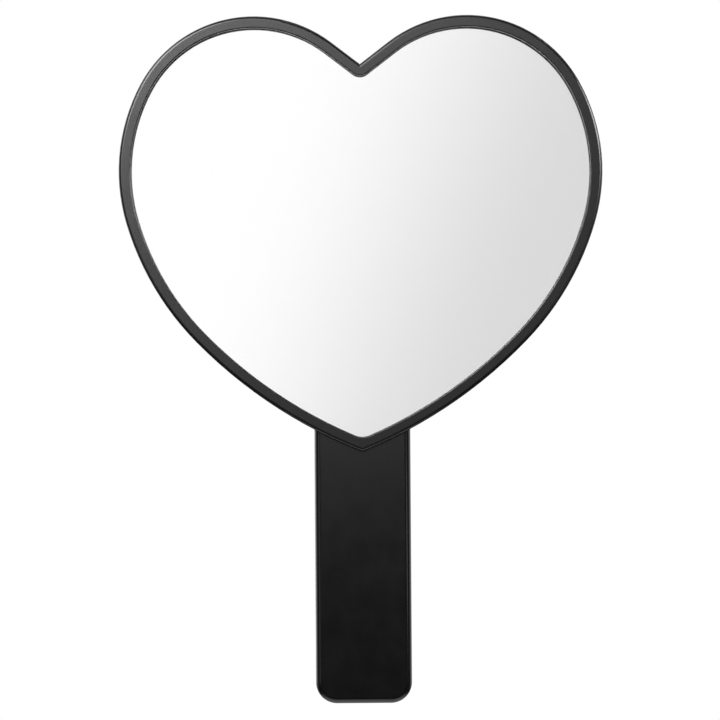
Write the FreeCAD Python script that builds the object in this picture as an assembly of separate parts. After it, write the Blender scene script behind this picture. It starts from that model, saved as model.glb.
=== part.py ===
import FreeCAD, Part
import math
import os

# Heart-shaped hand mirror, in millimetres. +Z runs up the handle to the heart, the glass faces
# -Y and the back lies flat in one plane on +Y. The origin is the centre of the grip, halfway
# along the part of the handle below the heart and halfway through its thickness.

# Heart outline, right-hand side: a straight run from the notch, then four arcs down to the
# point. Each arc is tangent to the one before and wider than it.
notch_slope = 37.5        # degrees above level
notch_run = 13.5
lobe_radius = 48.5
lobe_turn = 98.8          # degrees
side_radius = 69.5
side_turn = 45.0          # degrees
flank_radius = 107.5
flank_turn = 28.0         # degrees
point_radius = 180.0
point_round = 2.0         # on the point of the frame, more than any edge round there
window_round = 7.0        # on the point of the window
glass_round = 2.0         # on the point of the glass

# Handle
grip_length = 95.4        # from the heart's point down to the bottom end
handle_width = 36.4
handle_thickness = 9.0
corner_radius = 8.0       # bottom corners, seen from the front
cover_edge = 2.4          # round on the front edges of the handle
back_edge = 1.5           # round on the back edges of handle and heart

# Frame round the glass
rim_width = 4.5
rim_step = 2.0            # rim stands this far in front of the handle
rim_outer_edge = 1.3      # round on the rim's outside
rim_inner_edge = 0.4      # round beside the glass
lip_thickness = 1.6       # the rim in front of the glass
wall = 1.8                # every moulded wall and floor
seam_bevel = 0.25         # on both edges of each seam

# Glass and what is behind it
glass_thickness = 2.0
silver_thickness = 0.1
paint_thickness = 0.1
glass_gap = 0.4           # around the edge of the glass
tape_thickness = 1.0
tape_length = 44.0
tape_width = 12.0
seat_margin = 1.0         # a tape seat is this much larger than its tape, all round
seat_cells = 4            # pockets along a seat
lower_tape_height = 46.0  # above the heart's point
middle_tape_drop = 24.0   # below the widest part of the heart

# Fits between the mouldings
fit_gap = 0.15
upstand_thickness = 1.2
upstand_clear = 0.5       # between the upstand and the back of the glass
handle_upstand = 1.6      # its height in the handle
bead_height = 0.5
bead_length = 8.0
bead_width = 0.8
bead_inset = 0.6          # from the seam to the bead
bead_headings = (5.0, -50.0, -95.0, -135.0)   # degrees, the outline's direction at each bead
tongue_width = 24.0
tongue_thickness = 1.5
tongue_reach = 5.0
rib_thickness = 1.2
rib_clear = 1.0           # ribs stop this far short of what they face
boss_radius = 2.8
boss_spacing = 18.0       # across the handle
boss_rows = 3
boss_end_margin = 16.0    # from the bottom end, and from the heart's point
peg_radius = 1.2
peg_length = 2.0
bore_clear = 0.1          # round a peg

# Planes along Y, front to back
seam = 0.0
handle_front = -handle_thickness / 2
handle_back = handle_thickness / 2
rim_front = handle_front - rim_step
glass_front = rim_front + lip_thickness
silver_front = glass_front + glass_thickness
paint_front = silver_front + silver_thickness
tape_front = paint_front + paint_thickness
seat_front = tape_front + tape_thickness
upstand_front = tape_front + upstand_clear
rib_front = seam + rib_clear
floor = handle_back - wall
past = 1.0                # cutters run this far past what they cut

point_z = grip_length / 2
bottom_z = -grip_length / 2
half_width = handle_width / 2
glass_inset = wall + glass_gap
upstand_inset = wall + fit_gap
tray_inset = upstand_inset + upstand_thickness


def at(x, y, z):
    return FreeCAD.Vector(x, y, z)


def block(x0, x1, y0, y1, z0, z1):
    """Box between opposite corners."""
    return Part.makeBox(x1 - x0, y1 - y0, z1 - z0, at(x0, y0, z0))


def rod(x, z, radius, y0, y1):
    """Cylinder along Y."""
    return Part.makeCylinder(radius, y1 - y0, at(x, y0, z), at(0, 1, 0))


def walk_outline():
    """Arcs of the right-hand outline as (centre x, centre z, radius, first and last heading)
    and the notch's height, with the point of the heart at point_z."""
    heading = math.radians(notch_slope)
    x = notch_run * math.cos(heading)
    z = notch_run * math.sin(heading)
    turns = ((lobe_radius, lobe_turn), (side_radius, side_turn), (flank_radius, flank_turn))
    arcs = []
    for radius, turn in turns:
        centre_x = x + radius * math.sin(heading)
        centre_z = z - radius * math.cos(heading)
        last = heading - math.radians(turn)
        arcs.append((centre_x, centre_z, radius, heading, last))
        heading = last
        x = centre_x - radius * math.sin(heading)
        z = centre_z + radius * math.cos(heading)
    centre_x = x + point_radius * math.sin(heading)
    centre_z = z - point_radius * math.cos(heading)
    last = math.asin(-centre_x / point_radius) - math.pi
    arcs.append((centre_x, centre_z, point_radius, heading, last))
    notch_z = point_z - (centre_z + point_radius * math.cos(last))
    arcs = [(cx, cz + notch_z, r, first, last) for cx, cz, r, first, last in arcs]
    return arcs, notch_z


outline_arcs, notch_z = walk_outline()
lobe_x, lobe_z = outline_arcs[0][:2]
top_z = lobe_z + lobe_radius
widest_x = outline_arcs[1][0] + side_radius
widest_z = outline_arcs[1][1]


def arc_edge(x, z, radius, first, last, y):
    """Clockwise arc between two headings about a centre."""
    ends = [first, (first + last) / 2, last]
    points = [at(x - radius * math.sin(h), y, z + radius * math.cos(h)) for h in ends]
    return Part.Arc(*points).toShape()


def outline_height(x):
    """Height of the lower flank at a distance x from the middle."""
    cx, cz, radius = outline_arcs[-1][:3]
    return cz - math.sqrt(radius ** 2 - (x - cx) ** 2)


def half_heart(inset, rounding, y0, y1):
    """Right half of a heart-shaped plate whose outline lies inset inside the frame's."""
    slope = math.radians(notch_slope)
    start_x = inset * math.sin(slope)
    start_z = notch_z - inset * math.cos(slope)
    edges = []
    if inset > 0:
        top = at(0, y0, notch_z - inset)
        middle = at(inset * math.sin(slope / 2), y0, notch_z - inset * math.cos(slope / 2))
        edges.append(Part.Arc(top, middle, at(start_x, y0, start_z)).toShape())
    else:
        start_x = 0.0
        start_z = notch_z - inset / math.cos(slope)
        top = at(0, y0, start_z)
    cx, cz, radius, first, last = outline_arcs[0]
    lobe_start = at(cx - (radius - inset) * math.sin(first), y0,
                    cz + (radius - inset) * math.cos(first))
    edges.append(Part.LineSegment(at(start_x, y0, start_z), lobe_start).toShape())
    for cx, cz, radius, first, last in outline_arcs[:-1]:
        edges.append(arc_edge(cx, cz, radius - inset, first, last, y0))
    cx, cz, radius, first, last = outline_arcs[-1]
    reach = radius - inset
    round_z = cz - math.sqrt((reach - rounding) ** 2 - cx ** 2)
    meet = math.atan2(cx, round_z - cz)
    edges.append(arc_edge(cx, cz, reach, first, meet, y0))
    edges.append(arc_edge(0, round_z, rounding, meet, -math.pi, y0))
    edges.append(Part.LineSegment(at(0, y0, round_z - rounding), top).toShape())
    return Part.Face(Part.Wire(edges)).extrude(at(0, y1 - y0, 0))


def half_handle(inset, top_z, y0, y1):
    """Right half of a plate as wide as the handle, its sides and bottom moved in by inset."""
    side = half_width - inset
    low = bottom_z + inset
    radius = corner_radius - inset
    bend = radius * (1 - math.sqrt(0.5))
    corner = Part.Arc(at(side, y0, low + radius), at(side - bend, y0, low + bend),
                      at(side - radius, y0, low))
    lines = [(at(0, y0, low), at(0, y0, top_z)), (at(0, y0, top_z), at(side, y0, top_z)),
             (at(side, y0, top_z), at(side, y0, low + radius)),
             (at(side - radius, y0, low), at(0, y0, low))]
    edges = [Part.LineSegment(*ends).toShape() for ends in lines]
    edges.insert(3, corner.toShape())
    return Part.Face(Part.Wire(edges)).extrude(at(0, y1 - y0, 0))


def edges_in_plane(shape, y, within=None):
    """Edges in the plane at y, clear of the middle plane, whose middles lie within a solid."""
    found = []
    for edge in shape.Edges:
        box = edge.BoundBox
        middle = edge.valueAt((edge.FirstParameter + edge.LastParameter) / 2)
        flat = abs(box.YMin - y) < 1e-4 and abs(box.YMax - y) < 1e-4
        if flat and middle.x > 1e-3 and (within is None or within.isInside(middle, 1e-6, True)):
            found.append(edge)
    return found


def both_halves(half):
    """The whole piece from its right-hand half."""
    return half.fuse(half.mirror(at(0, 0, 0), at(1, 0, 0))).removeSplitter()


def bead_bars(length, outer, inner, gap):
    """Short bars across the right-hand outline at the snap beads, between two insets and with
    a gap in front and behind."""
    back = seam - bead_inset + gap
    front = seam - bead_inset - bead_width - gap
    bars = []
    for degrees in bead_headings:
        heading = math.radians(degrees)
        cx, cz, radius = next(arc[:3] for arc in outline_arcs if arc[4] <= heading <= arc[3])
        bar = block(-length / 2, length / 2, front, back, radius - inner, radius - outer)
        bar.rotate(at(0, 0, 0), at(0, 1, 0), -degrees)
        bar.translate(at(cx, 0, cz))
        bars.append(bar)
    return bars


def half_tongue(gap):
    """Right half of the bar that the cover's tongue is cut from, with a gap beside it and in
    front of it."""
    top = outline_height(tongue_width / 2) + tongue_reach + wall
    return block(0, tongue_width / 2 + gap, seam - tongue_thickness - gap, seam,
                 point_z - wall, top)


def boss_places():
    """Middles of the bosses and pegs that join the halves of the handle."""
    low = bottom_z + boss_end_margin
    pitch = (grip_length - 2 * boss_end_margin) / (boss_rows - 1)
    return [(side * boss_spacing / 2, low + row * pitch)
            for row in range(boss_rows) for side in (-1, 1)]


def handle_ribs(reach, y0, y1):
    """Ribs across the handle, halfway between the rows of bosses."""
    heights = sorted({z for x, z in boss_places()})
    middles = [(low + high) / 2 for low, high in zip(heights, heights[1:])]
    return [block(-reach, reach, y0, y1, z - rib_thickness / 2, z + rib_thickness / 2)
            for z in middles]


def tape_places():
    """Middle of each foam tape, by its place behind the glass."""
    return {"left_lobe": (-lobe_x, lobe_z), "right_lobe": (lobe_x, lobe_z),
            "middle": (0.0, widest_z - middle_tape_drop),
            "lower": (0.0, point_z + lower_tape_height)}


def front_bezel():
    """Rim, lip over the glass and skirt, with snap beads inside the skirt."""
    body = half_heart(0.0, point_round, rim_front, seam)
    body = body.makeFillet(rim_outer_edge, edges_in_plane(body, rim_front))
    body = body.makeChamfer(seam_bevel, edges_in_plane(body, seam))
    body = body.cut(half_heart(wall, point_round, glass_front, seam + past))
    body = body.cut(half_heart(rim_width, window_round, rim_front - past, glass_front + past))
    mid_rim = (rim_outer_edge + rim_width) / 2
    inside = half_heart(mid_rim, point_round, rim_front - past, seam)
    body = body.makeFillet(rim_inner_edge, edges_in_plane(body, rim_front, inside))
    body = body.cut(half_tongue(fit_gap))
    body = body.fuse(bead_bars(bead_length, wall / 2, upstand_inset + bead_height, 0.0))
    return both_halves(body)


def tape_seat(x, z):
    """Raised frame of square pockets that carries one foam tape."""
    left = x - tape_length / 2 - seat_margin
    right = x + tape_length / 2 + seat_margin
    low = z - tape_width / 2 - seat_margin
    high = z + tape_width / 2 + seat_margin
    seat = block(left, right, seat_front, floor, low, high)
    pitch = (right - left - rib_thickness) / seat_cells
    for cell in range(seat_cells):
        start = left + rib_thickness + cell * pitch
        seat = seat.cut(block(start, start + pitch - rib_thickness, seat_front, floor,
                              low + rib_thickness, high - rib_thickness))
    return seat


def tray_ribs():
    """Ribs up and across the tray, through the tape seats and into its wall."""
    half = rib_thickness / 2
    upright = [block(x - half, x + half, rib_front, floor, point_z, top_z)
               for x in (-lobe_x, 0.0, lobe_x)]
    across = [block(-widest_x, widest_x, rib_front, floor, z - half, z + half)
              for z in sorted({z for x, z in tape_places().values()})]
    space = both_halves(half_heart(upstand_inset, point_round, seam, handle_back))
    return [space.common(rib) for rib in upright + across]


def back_shell():
    """Heart-shaped tray and the back half of the handle, moulded in one."""
    heart = half_heart(0.0, point_round, seam, handle_back)
    heart = heart.makeFillet(back_edge, edges_in_plane(heart, handle_back))
    heart = heart.makeChamfer(seam_bevel, edges_in_plane(heart, seam))
    handle_top = outline_height(half_width) + tray_inset
    handle = half_handle(0.0, handle_top, seam, handle_back)
    handle = handle.makeFillet(back_edge, edges_in_plane(handle, handle_back))
    handle = handle.makeChamfer(seam_bevel, edges_in_plane(handle, seam))
    body = heart.fuse(handle).removeSplitter()

    upstand = half_heart(upstand_inset, point_round, upstand_front, floor)
    body = body.fuse(upstand.cut(half_tongue(fit_gap)))
    body = body.cut(half_heart(tray_inset, point_round, upstand_front - past, floor))
    body = body.cut(bead_bars(bead_length + 2 * fit_gap, wall, tray_inset + past, fit_gap))

    lip_front = seam - handle_upstand
    cover_end = half_heart(-(wall + 2 * fit_gap), point_round, lip_front - past, floor)
    lip = half_handle(upstand_inset, handle_top, lip_front, floor).cut(cover_end)
    tray = half_heart(0.0, point_round, lip_front - past, floor)
    hollow = half_handle(tray_inset, handle_top, lip_front - past, floor).cut(tray)
    body = both_halves(body.fuse(lip).cut(hollow))

    additions = [tape_seat(x, z) for x, z in tape_places().values()]
    additions += tray_ribs()
    additions += handle_ribs(half_width - upstand_inset, rib_front, floor)
    additions += [rod(x, z, boss_radius, seam, floor) for x, z in boss_places()]
    body = body.fuse(additions).removeSplitter()
    bores = [rod(x, z, peg_radius + bore_clear, seam, seam + peg_length + fit_gap)
             for x, z in boss_places()]
    return body.cut(bores)


def handle_cover():
    """Front half of the handle, with pegs behind it and a tongue that the bezel holds down."""
    top = outline_height(half_width) + cover_edge
    body = half_handle(0.0, top, handle_front, seam)
    body = body.makeFillet(cover_edge, edges_in_plane(body, handle_front))
    body = body.makeChamfer(seam_bevel, edges_in_plane(body, seam))
    body = body.cut(half_heart(-fit_gap, point_round, handle_front - past, seam + past))
    end_wall = half_heart(-(fit_gap + wall), point_round, handle_front, seam)
    body = body.cut(half_handle(wall, top, handle_front + wall, seam).cut(end_wall))
    end = half_heart(tongue_reach, point_round, handle_front, seam + past)
    body = both_halves(body.fuse(half_tongue(0.0).cut(end)))

    inner_face = handle_front + wall
    rib_reach = half_width - tray_inset - rib_clear
    additions = handle_ribs(rib_reach, inner_face, seam - rib_clear)
    for x, z in boss_places():
        additions.append(rod(x, z, boss_radius, inner_face, seam))
        additions.append(rod(x, z, peg_radius, inner_face, seam + peg_length))
    return body.fuse(additions).removeSplitter()


def pane(thickness, front):
    """Heart-shaped layer as large as the glass."""
    return both_halves(half_heart(glass_inset, glass_round, front, front + thickness))


def foam_tape(x, z):
    """Strip of double-sided foam between the back of the glass and its seat."""
    return block(x - tape_length / 2, x + tape_length / 2, tape_front, seat_front,
                 z - tape_width / 2, z + tape_width / 2)


def main():
    os.makedirs("parts", exist_ok=True)
    pieces = {
        "front_bezel": front_bezel(),
        "back_shell": back_shell(),
        "handle_cover": handle_cover(),
        "mirror_glass": pane(glass_thickness, glass_front),
        "mirror_silvering": pane(silver_thickness, silver_front),
        "mirror_back_paint": pane(paint_thickness, paint_front),
    }
    for place, (x, z) in tape_places().items():
        pieces["foam_tape_" + place] = foam_tape(x, z)
    for name, shape in pieces.items():
        shape.exportStep("parts/" + name + ".step")


main()
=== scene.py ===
import math

import bpy
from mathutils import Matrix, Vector


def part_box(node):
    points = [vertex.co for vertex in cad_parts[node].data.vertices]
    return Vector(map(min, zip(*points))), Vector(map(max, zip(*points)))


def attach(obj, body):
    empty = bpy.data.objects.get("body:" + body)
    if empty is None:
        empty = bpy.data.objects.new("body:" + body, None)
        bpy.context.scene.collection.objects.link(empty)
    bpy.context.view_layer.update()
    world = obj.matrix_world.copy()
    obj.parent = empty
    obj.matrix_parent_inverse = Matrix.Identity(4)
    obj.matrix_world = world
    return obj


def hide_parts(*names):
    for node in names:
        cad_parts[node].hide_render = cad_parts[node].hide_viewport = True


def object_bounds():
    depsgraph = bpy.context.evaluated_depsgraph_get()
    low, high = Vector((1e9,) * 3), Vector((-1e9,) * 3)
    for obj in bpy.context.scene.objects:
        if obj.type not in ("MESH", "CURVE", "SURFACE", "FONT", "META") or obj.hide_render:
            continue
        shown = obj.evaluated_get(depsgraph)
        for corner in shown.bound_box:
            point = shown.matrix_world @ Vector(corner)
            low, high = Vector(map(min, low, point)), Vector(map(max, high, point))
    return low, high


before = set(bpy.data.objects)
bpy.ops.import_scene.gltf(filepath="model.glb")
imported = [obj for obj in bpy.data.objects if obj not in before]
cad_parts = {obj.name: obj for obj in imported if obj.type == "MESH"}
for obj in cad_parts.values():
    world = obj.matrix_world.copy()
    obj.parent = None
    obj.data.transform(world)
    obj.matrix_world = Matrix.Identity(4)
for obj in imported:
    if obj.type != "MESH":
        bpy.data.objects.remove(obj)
cad_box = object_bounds()
low, high = cad_box
middle = (low + high) / 2
mm = 0.001


# ---- Small helpers ----

def colour(hex_code):
    """sRGB hex to the linear colour that a shader takes."""
    parts = [int(hex_code[i:i + 2], 16) / 255 for i in (1, 3, 5)]
    return [p / 12.92 if p <= 0.04045 else ((p + 0.055) / 1.055) ** 2.4 for p in parts] + [1.0]


def add(tree, kind, settings=None, **inputs):
    """Adds a node with its settings, and fills its inputs with values or other nodes' outputs.
    An input goes by its socket's name with _ for a space, or by its number, as in _0."""
    node = tree.nodes.new("ShaderNode" + kind)
    for name, value in (settings or {}).items():
        setattr(node, name, value)
    for name, value in inputs.items():
        socket = node.inputs[int(name[1:]) if name[1:].isdigit() else name.replace("_", " ")]
        if isinstance(value, bpy.types.NodeSocket):
            tree.links.new(value, socket)
        else:
            socket.default_value = value
    return node


def new_material(name):
    """A material with an empty node tree but for its output."""
    material = bpy.data.materials.new(name)
    material.use_nodes = True
    tree = material.node_tree
    tree.nodes.clear()
    return material, tree, tree.nodes.new("ShaderNodeOutputMaterial")


def finish_material(tree, output, shader):
    """Joins the finished shader to the output's surface."""
    tree.links.new(shader.outputs[0], output.inputs["Surface"])


grain_size = 0.5 * mm      # real mould grain is finer, and is drawn as coarse as it needs to show
wave_size = 14 * mm
rub_size = 9 * mm
rub_change = 0.03          # how far rubbing takes the roughness either way


def moulded_plastic(name, base, roughness, grain_depth, wave_depth):
    """Black ABS straight from the mould: no paint, a fine grain from the tool's surface, a slow
    waviness from shrinking, and a roughness that wanders a little where hands have rubbed it."""
    material, tree, output = new_material(name)
    place = add(tree, "TexCoord").outputs["Object"]
    grain = add(tree, "TexNoise", Vector=place, Scale=1 / grain_size, Detail=3.0)
    wave = add(tree, "TexNoise", Vector=place, Scale=1 / wave_size, Detail=1.0)
    rub = add(tree, "TexNoise", Vector=place, Scale=1 / rub_size, Detail=4.0, Roughness=0.6)
    rubbed = add(tree, "MapRange", Value=rub.outputs[0], From_Min=0.3, From_Max=0.7,
                 To_Min=roughness - rub_change, To_Max=roughness + rub_change)
    bump_wave = add(tree, "Bump", Height=wave.outputs[0], Distance=wave_depth)
    bump_grain = add(tree, "Bump", Height=grain.outputs[0], Distance=grain_depth,
                     Normal=bump_wave.outputs[0])
    shader = add(tree, "BsdfPrincipled", Base_Color=colour(base), IOR=1.53,
                 Roughness=rubbed.outputs[0], Normal=bump_grain.outputs[0])
    finish_material(tree, output, shader)
    return material


def float_glass():
    """Soda-lime float glass, polished on both faces: so thin and clear that no tint shows, with
    faint smears where it was wiped."""
    material, tree, output = new_material("float_glass")
    place = add(tree, "TexCoord").outputs["Object"]
    smear = add(tree, "TexNoise", Vector=place, Scale=1 / (25 * mm), Detail=5.0)
    sheen = add(tree, "MapRange", Value=smear.outputs[0], From_Min=0.45, From_Max=0.8,
                To_Min=0.0, To_Max=0.02)
    shader = add(tree, "BsdfPrincipled", Base_Color=colour("#ffffff"), IOR=1.52,
                 Roughness=sheen.outputs[0], Transmission_Weight=1.0)
    finish_material(tree, output, shader)
    return material


def silver_film():
    """Silver laid on the back of the glass: a bright metal, smooth but for a faint clouding."""
    material, tree, output = new_material("silver_film")
    place = add(tree, "TexCoord").outputs["Object"]
    cloud = add(tree, "TexNoise", Vector=place, Scale=1 / (40 * mm), Detail=2.0)
    clouded = add(tree, "MapRange", Value=cloud.outputs[0], To_Min=0.0, To_Max=0.004)
    shader = add(tree, "BsdfPrincipled", Base_Color=colour("#fafafa"), Metallic=1.0,
                 Roughness=clouded.outputs[0])
    finish_material(tree, output, shader)
    return material


def grey_lacquer():
    """Matt grey lacquer that seals the silver: sprayed, so slightly pebbled."""
    material, tree, output = new_material("grey_lacquer")
    place = add(tree, "TexCoord").outputs["Object"]
    pebble = add(tree, "TexNoise", Vector=place, Scale=1 / (0.8 * mm), Detail=2.0)
    bump = add(tree, "Bump", Height=pebble.outputs[0], Distance=0.03 * mm)
    shader = add(tree, "BsdfPrincipled", Base_Color=colour("#6d7377"), Roughness=0.6,
                 Normal=bump.outputs[0])
    finish_material(tree, output, shader)
    return material


def white_foam():
    """Closed-cell polyethylene foam tape: white, matt, with cells that just show."""
    material, tree, output = new_material("white_foam")
    place = add(tree, "TexCoord").outputs["Object"]
    cells = add(tree, "TexVoronoi", Vector=place, Scale=1 / (0.4 * mm))
    bump = add(tree, "Bump", Height=cells.outputs[0], Distance=0.05 * mm)
    shader = add(tree, "BsdfPrincipled", Base_Color=colour("#e8e8e4"), Roughness=0.9,
                 Normal=bump.outputs[0])
    finish_material(tree, output, shader)
    return material


def paint(node_name, material):
    """Gives a carried-over node its material."""
    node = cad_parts[node_name]
    if not node.material_slots:
        node.data.materials.append(material)
    for slot in node.material_slots:
        slot.material = material


# ---- The finish of every piece ----

rim_plastic = moulded_plastic("rim_black_abs", "#0c0c0d", roughness=0.25,
                              grain_depth=0.0012 * mm, wave_depth=0.01 * mm)
shell_plastic = moulded_plastic("shell_black_abs", "#0c0c0d", roughness=0.18,
                                grain_depth=0.003 * mm, wave_depth=0.012 * mm)
paint("front_bezel", rim_plastic)
paint("handle_cover", shell_plastic)
paint("back_shell", shell_plastic)
paint("mirror_silvering", silver_film())
paint("mirror_back_paint", grey_lacquer())
foam = white_foam()
for seat in ("left_lobe", "right_lobe", "middle", "lower"):
    paint("foam_tape_" + seat, foam)


# ---- The glass, a hair clear of its silver and of the rim, so that light meets them in turn ----

clearance = 0.02 * mm


def glass_pane():
    """The pane as the frame has it, with both faces drawn in by the clearance."""
    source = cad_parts["mirror_glass"]
    front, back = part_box("mirror_glass")
    mesh = source.data.copy()
    mesh.name = "glass_pane"
    half_depth = (front.y + back.y) / 2
    for vertex in mesh.vertices:
        vertex.co.y += clearance if vertex.co.y < half_depth else -clearance
    mesh.materials.clear()
    mesh.materials.append(float_glass())
    pane = bpy.data.objects.new("glass_pane", mesh)
    bpy.context.scene.collection.objects.link(pane)
    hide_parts("mirror_glass")
    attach(pane, "root")


glass_pane()


# ---- Floor ----

floor_drop = 300 * mm      # the mirror is held, so the floor is some way below it
floor_radius = 450 * mm
fade_start = 0.35 * floor_radius
fade_end = 0.95 * floor_radius


def studio_floor():
    """Pale floor that fades out at its rim, so that it has no horizon."""
    mesh = bpy.data.meshes.new("floor")
    height = low.z - floor_drop
    corners = [(x * floor_radius, y * floor_radius, height)
               for x, y in ((-1, -1), (1, -1), (1, 1), (-1, 1))]
    mesh.from_pydata(corners, [], [(0, 1, 2, 3)])
    floor = bpy.data.objects.new("floor", mesh)
    bpy.context.scene.collection.objects.link(floor)
    material, tree, output = new_material("pale_floor")
    place = add(tree, "TexCoord").outputs["Object"]
    flat = add(tree, "VectorMath", {"operation": "MULTIPLY"}, _0=place, _1=(1, 1, 0))
    reach = add(tree, "VectorMath", {"operation": "LENGTH"}, _0=flat.outputs[0])
    fade = add(tree, "MapRange", {"interpolation_type": "SMOOTHSTEP"}, Value=reach.outputs["Value"],
               From_Min=fade_start, From_Max=fade_end)
    surface = add(tree, "BsdfDiffuse", Color=colour("#f4f4f4"))
    clear = add(tree, "BsdfTransparent")
    mix = add(tree, "MixShader", Fac=fade.outputs[0], _1=surface.outputs[0], _2=clear.outputs[0])
    finish_material(tree, output, mix)
    mesh.materials.append(material)


studio_floor()


# ---- Lamps ----

def softbox(name, place, width, height, brightness):
    """Flat lamp at a place measured in metres from the middle of the mirror, which it faces.
    The face of a lamp of brightness 1 is just white. The mirror's glass doesn't show the lamp."""
    lamp = bpy.data.lights.new(name, "AREA")
    lamp.shape = "RECTANGLE"
    lamp.size = width
    lamp.size_y = height
    lamp.energy = brightness * math.pi * width * height
    holder = bpy.data.objects.new(name, lamp)
    bpy.context.scene.collection.objects.link(holder)
    holder.location = middle + Vector(place)
    holder.rotation_mode = "QUATERNION"
    holder.rotation_quaternion = Vector(place).to_track_quat("Z", "Y")
    holder.visible_transmission = False


softbox("beside_camera_left", (-0.39, -1.10, 0.22), 0.30, 0.40, 1.8)
softbox("above_camera", (-0.15, -1.10, 0.48), 0.60, 0.30, 3.3)
softbox("key_upper_left", (-0.46, -0.97, 0.53), 0.48, 0.52, 13.0)
softbox("key_far_left", (-0.75, -0.57, 0.77), 0.40, 0.50, 6.0)
softbox("strip_right", (0.74, -0.90, 0.31), 0.30, 0.30, 19.0)
softbox("strip_far_right", (0.98, -0.56, 0.42), 0.40, 0.30, 16.0)
softbox("card_left", (-0.75, -0.90, -0.12), 0.45, 0.45, 0.6)
softbox("card_low_right", (0.33, -0.36, -0.11), 0.16, 0.10, 1.0)
softbox("behind_right", (0.70, 1.00, 0.60), 0.60, 0.60, 4.0)
softbox("behind_left", (-0.90, 0.70, 0.10), 0.30, 0.80, 3.0)


def studio_world():
    """White studio all round. The mirror shows a broad sweep from white on the upper left to
    pale grey on the lower right. The black plastic meets that sweep only on a card straight in
    front of it. Round the card the room is dim or dark, so that the plastic stays black, and
    behind the mirror it is pale above and dim below."""
    world = bpy.data.worlds.new("studio")
    bpy.context.scene.world = world
    world.use_nodes = True
    tree = world.node_tree
    tree.nodes.clear()
    output = tree.nodes.new("ShaderNodeOutputWorld")
    way = add(tree, "TexCoord").outputs["Generated"]

    def along(axis, first, last, at_first, at_last):
        """A value that changes smoothly with how far the ray's way leans along an axis. A lean
        is a cosine, so 0.1 to the right or up is about 6 degrees off straight ahead."""
        lean = add(tree, "VectorMath", {"operation": "DOT_PRODUCT"}, _0=way, _1=axis)
        step = add(tree, "MapRange", {"interpolation_type": "SMOOTHSTEP"},
                   Value=lean.outputs["Value"], From_Min=first, From_Max=last,
                   To_Min=at_first, To_Max=at_last)
        return step.outputs[0]

    def times(one, other):
        return add(tree, "Math", {"operation": "MULTIPLY"}, _0=one, _1=other).outputs[0]

    right, back, up = (1, 0, 0), (0, 1, 0), (0, 0, 1)
    lower_right = (0.928, 0, -0.371)
    sweep = along(lower_right, -0.0854, 0.0724, 1.053, 0.737)
    card = times(times(along(right, 0.10, 0.20, 1, 0), along(right, -0.20, -0.12, 0, 1)),
                 times(along(up, -0.08, -0.015, 0, 1), along(up, 0.17, 0.26, 1, 0.2)))
    ahead = times(times(card, sweep), along(back, -0.30, 0.0, 1, 0))
    behind = times(along(back, -0.30, 0.30, 0, 1), along(up, -0.55, 0.0, 0.1, 1.3))
    room = add(tree, "Math", {"operation": "ADD"}, _0=ahead, _1=behind)
    rays = add(tree, "LightPath")
    soft = add(tree, "Background", Strength=0.25)
    plastic = add(tree, "Background", Strength=room.outputs[0])
    glass = add(tree, "Background", Strength=sweep)
    backdrop = add(tree, "Background", Strength=1.0)
    for sheet in (soft, plastic, glass, backdrop):
        sheet.inputs["Color"].default_value = (1, 1, 1, 1)
    seen = soft
    for ray, sheet in (("Glossy", plastic), ("Transmission", glass), ("Camera", backdrop)):
        seen = add(tree, "MixShader", Fac=rays.outputs["Is " + ray + " Ray"],
                   _1=seen.outputs[0], _2=sheet.outputs[0])
    finish_material(tree, output, seen)


studio_world()


# ---- Camera: straight in front, far off, level with the middle of the mirror ----

camera_distance = 753.5 * mm
camera_aside = -0.7 * mm
camera_lens = 100
camera_sensor = 36
camera_roll = math.radians(0.4)      # held a touch askew


def front_camera():
    camera = bpy.data.cameras.new("front_camera")
    camera.lens = camera_lens
    camera.sensor_width = camera_sensor
    holder = bpy.data.objects.new("front_camera", camera)
    bpy.context.scene.collection.objects.link(holder)
    holder.location = (camera_aside, low.y - camera_distance, middle.z)
    holder.rotation_euler = (math.pi / 2, camera_roll, 0)
    bpy.context.scene.camera = holder


front_camera()
bpy.context.scene.view_settings.view_transform = "Standard"
